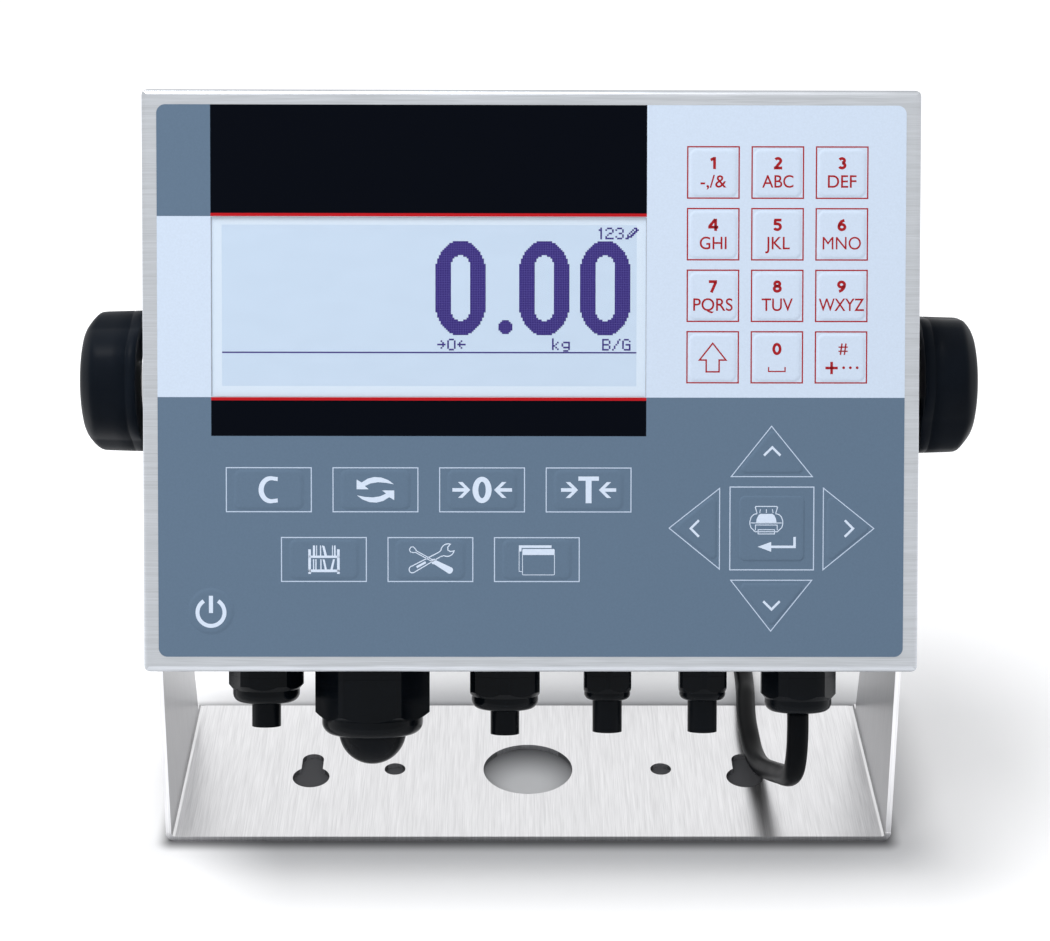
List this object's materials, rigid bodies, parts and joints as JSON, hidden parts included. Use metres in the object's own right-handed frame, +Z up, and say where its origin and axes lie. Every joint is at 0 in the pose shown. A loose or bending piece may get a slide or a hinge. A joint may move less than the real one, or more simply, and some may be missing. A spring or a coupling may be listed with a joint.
{
  "type": "weighing indicator",
  "caption": "Stainless steel weighing indicator that tilts in a bent sheet bracket between two clamping knobs, with a display, keypad, cable glands and a coiled mains lead.",
  "frame": {"origin": "centre of the large cable hole in the bracket's base, at its underside", "axes": "+X to the right as seen from the face, +Y away from the viewer, +Z up along the axes of the screw holes"},
  "size_m": [0.3202, 0.2846, 0.2805],
  "materials": {
    "bracket_steel": "brushed",
    "housing_steel": "brushed",
    "plain_steel": "satin",
    "gasket_rubber": "matte",
    "friction_plastic": "matte",
    "knob_plastic": "fine grain",
    "panel_film": "satin film",
    "window_film": "clear film",
    "display_glass": "lit display",
    "circuit_film": "satin",
    "board": "satin",
    "spacer_brass": "turned",
    "gland_plastic": "satin",
    "plug_rubber": "matte",
    "cord_rubber": "satin",
    "plug_plastic": "satin",
    "pin_brass": "plated",
    "number_key_film": "satin film",
    "key_film": "satin film"
  },
  "bodies": {
    "bracket": {"bracket": "bracket_steel", "power_cord": "cord_rubber", "cord_coil": "cord_rubber", "mains_plug": "plug_plastic", "plug_pins": "pin_brass"},
    "housing": {"front_housing": "housing_steel", "housing_gasket": "gasket_rubber", "rear_housing": "housing_steel", "housing_screws": "plain_steel", "knob_inserts": "plain_steel", "friction_discs": "friction_plastic", "control_panel": "panel_film", "display_window": "window_film", "display_module": "display_glass", "keypad_circuit": "circuit_film", "main_board": "board", "power_supply_board": "board", "board_spacers": "spacer_brass", "gland_washers": "gasket_rubber", "gland_bodies": "gland_plastic", "gland_locknuts": "gland_plastic", "gland_caps": "gland_plastic", "option_gland_cap": "gland_plastic", "option_gland_plug": "plug_rubber", "power_gland_cap": "gland_plastic", "gland_seals": "gasket_rubber", "blanking_plugs": "plug_rubber", "power_lead": "cord_rubber"},
    "left_washer": {"knob_washer_left": "plain_steel"},
    "left_knob": {"knob_left": "knob_plastic", "knob_stud_left": "plain_steel"},
    "right_washer": {"knob_washer_right": "plain_steel"},
    "right_knob": {"knob_right": "knob_plastic", "knob_stud_right": "plain_steel"},
    "key_1": {"key_1": "number_key_film"},
    "key_2": {"key_2": "number_key_film"},
    "key_3": {"key_3": "number_key_film"},
    "key_4": {"key_4": "number_key_film"},
    "key_5": {"key_5": "number_key_film"},
    "key_6": {"key_6": "number_key_film"},
    "key_7": {"key_7": "number_key_film"},
    "key_8": {"key_8": "number_key_film"},
    "key_9": {"key_9": "number_key_film"},
    "key_shift": {"key_shift": "number_key_film"},
    "key_0": {"key_0": "number_key_film"},
    "key_symbol": {"key_symbol": "number_key_film"},
    "key_clear": {"key_clear": "key_film"},
    "key_swap": {"key_swap": "key_film"},
    "key_zero": {"key_zero": "key_film"},
    "key_tare": {"key_tare": "key_film"},
    "key_library": {"key_library": "key_film"},
    "key_tools": {"key_tools": "key_film"},
    "key_windows": {"key_windows": "key_film"},
    "key_enter": {"key_enter": "key_film"},
    "key_up": {"key_up": "key_film"},
    "key_down": {"key_down": "key_film"},
    "key_left": {"key_left": "key_film"},
    "key_right": {"key_right": "key_film"},
    "key_power": {"key_power": "key_film"}
  },
  "joints": [
    {"name": "housing_tilt", "type": "hinge", "parent": "bracket", "child": "housing", "pos_m": [0, -0.0073, 0.172], "axis": [1, 0, 0], "range_deg": [-66, 54], "deforming": ["power_cord"]},
    {"name": "left_knob_travel", "type": "slide", "parent": "housing", "child": "left_washer", "axis": [-1, 0, 0], "range_m": [0, 0.0025]},
    {"name": "left_knob_turn", "type": "hinge", "parent": "left_washer", "child": "left_knob", "pos_m": [-0.138, -0.0073, 0.172], "axis": [-1, 0, 0], "range_deg": [0, 720]},
    {"name": "right_knob_travel", "type": "slide", "parent": "housing", "child": "right_washer", "axis": [1, 0, 0], "range_m": [0, 0.0025]},
    {"name": "right_knob_turn", "type": "hinge", "parent": "right_washer", "child": "right_knob", "pos_m": [0.138, -0.0073, 0.172], "axis": [1, 0, 0], "range_deg": [0, 720]},
    {"name": "press_1", "type": "slide", "parent": "housing", "child": "key_1", "axis": [0, 0.9143, -0.4051], "range_m": [0, 0.0003], "stiffness_N_per_m": 4000, "springref_m": -0.0003},
    {"name": "press_2", "type": "slide", "parent": "housing", "child": "key_2", "axis": [0, 0.9143, -0.4051], "range_m": [0, 0.0003], "stiffness_N_per_m": 4000, "springref_m": -0.0003},
    {"name": "press_3", "type": "slide", "parent": "housing", "child": "key_3", "axis": [0, 0.9143, -0.4051], "range_m": [0, 0.0003], "stiffness_N_per_m": 4000, "springref_m": -0.0003},
    {"name": "press_4", "type": "slide", "parent": "housing", "child": "key_4", "axis": [0, 0.9143, -0.4051], "range_m": [0, 0.0003], "stiffness_N_per_m": 4000, "springref_m": -0.0003},
    {"name": "press_5", "type": "slide", "parent": "housing", "child": "key_5", "axis": [0, 0.9143, -0.4051], "range_m": [0, 0.0003], "stiffness_N_per_m": 4000, "springref_m": -0.0003},
    {"name": "press_6", "type": "slide", "parent": "housing", "child": "key_6", "axis": [0, 0.9143, -0.4051], "range_m": [0, 0.0003], "stiffness_N_per_m": 4000, "springref_m": -0.0003},
    {"name": "press_7", "type": "slide", "parent": "housing", "child": "key_7", "axis": [0, 0.9143, -0.4051], "range_m": [0, 0.0003], "stiffness_N_per_m": 4000, "springref_m": -0.0003},
    {"name": "press_8", "type": "slide", "parent": "housing", "child": "key_8", "axis": [0, 0.9143, -0.4051], "range_m": [0, 0.0003], "stiffness_N_per_m": 4000, "springref_m": -0.0003},
    {"name": "press_9", "type": "slide", "parent": "housing", "child": "key_9", "axis": [0, 0.9143, -0.4051], "range_m": [0, 0.0003], "stiffness_N_per_m": 4000, "springref_m": -0.0003},
    {"name": "press_shift", "type": "slide", "parent": "housing", "child": "key_shift", "axis": [0, 0.9143, -0.4051], "range_m": [0, 0.0003], "stiffness_N_per_m": 4000, "springref_m": -0.0003},
    {"name": "press_0", "type": "slide", "parent": "housing", "child": "key_0", "axis": [0, 0.9143, -0.4051], "range_m": [0, 0.0003], "stiffness_N_per_m": 4000, "springref_m": -0.0003},
    {"name": "press_symbol", "type": "slide", "parent": "housing", "child": "key_symbol", "axis": [0, 0.9143, -0.4051], "range_m": [0, 0.0003], "stiffness_N_per_m": 4000, "springref_m": -0.0003},
    {"name": "press_clear", "type": "slide", "parent": "housing", "child": "key_clear", "axis": [0, 0.9143, -0.4051], "range_m": [0, 0.0003], "stiffness_N_per_m": 4000, "springref_m": -0.0003},
    {"name": "press_swap", "type": "slide", "parent": "housing", "child": "key_swap", "axis": [0, 0.9143, -0.4051], "range_m": [0, 0.0003], "stiffness_N_per_m": 4000, "springref_m": -0.0003},
    {"name": "press_zero", "type": "slide", "parent": "housing", "child": "key_zero", "axis": [0, 0.9143, -0.4051], "range_m": [0, 0.0003], "stiffness_N_per_m": 4000, "springref_m": -0.0003},
    {"name": "press_tare", "type": "slide", "parent": "housing", "child": "key_tare", "axis": [0, 0.9143, -0.4051], "range_m": [0, 0.0003], "stiffness_N_per_m": 4000, "springref_m": -0.0003},
    {"name": "press_library", "type": "slide", "parent": "housing", "child": "key_library", "axis": [0, 0.9143, -0.4051], "range_m": [0, 0.0003], "stiffness_N_per_m": 4000, "springref_m": -0.0003},
    {"name": "press_tools", "type": "slide", "parent": "housing", "child": "key_tools", "axis": [0, 0.9143, -0.4051], "range_m": [0, 0.0003], "stiffness_N_per_m": 4000, "springref_m": -0.0003},
    {"name": "press_windows", "type": "slide", "parent": "housing", "child": "key_windows", "axis": [0, 0.9143, -0.4051], "range_m": [0, 0.0003], "stiffness_N_per_m": 4000, "springref_m": -0.0003},
    {"name": "press_enter", "type": "slide", "parent": "housing", "child": "key_enter", "axis": [0, 0.9143, -0.4051], "range_m": [0, 0.0003], "stiffness_N_per_m": 4000, "springref_m": -0.0003},
    {"name": "press_up", "type": "slide", "parent": "housing", "child": "key_up", "axis": [0, 0.9143, -0.4051], "range_m": [0, 0.0003], "stiffness_N_per_m": 4000, "springref_m": -0.0003},
    {"name": "press_down", "type": "slide", "parent": "housing", "child": "key_down", "axis": [0, 0.9143, -0.4051], "range_m": [0, 0.0003], "stiffness_N_per_m": 4000, "springref_m": -0.0003},
    {"name": "press_left", "type": "slide", "parent": "housing", "child": "key_left", "axis": [0, 0.9143, -0.4051], "range_m": [0, 0.0003], "stiffness_N_per_m": 4000, "springref_m": -0.0003},
    {"name": "press_right", "type": "slide", "parent": "housing", "child": "key_right", "axis": [0, 0.9143, -0.4051], "range_m": [0, 0.0003], "stiffness_N_per_m": 4000, "springref_m": -0.0003},
    {"name": "press_power", "type": "slide", "parent": "housing", "child": "key_power", "axis": [0, 0.9143, -0.4051], "range_m": [0, 0.0003], "stiffness_N_per_m": 4000, "springref_m": -0.0003}
  ],
  "couplings": [
    {"joint": "left_knob_travel", "follows": "left_knob_turn", "m_per_rad": 0.00019894},
    {"joint": "right_knob_travel", "follows": "right_knob_turn", "m_per_rad": 0.00019894}
  ]
}
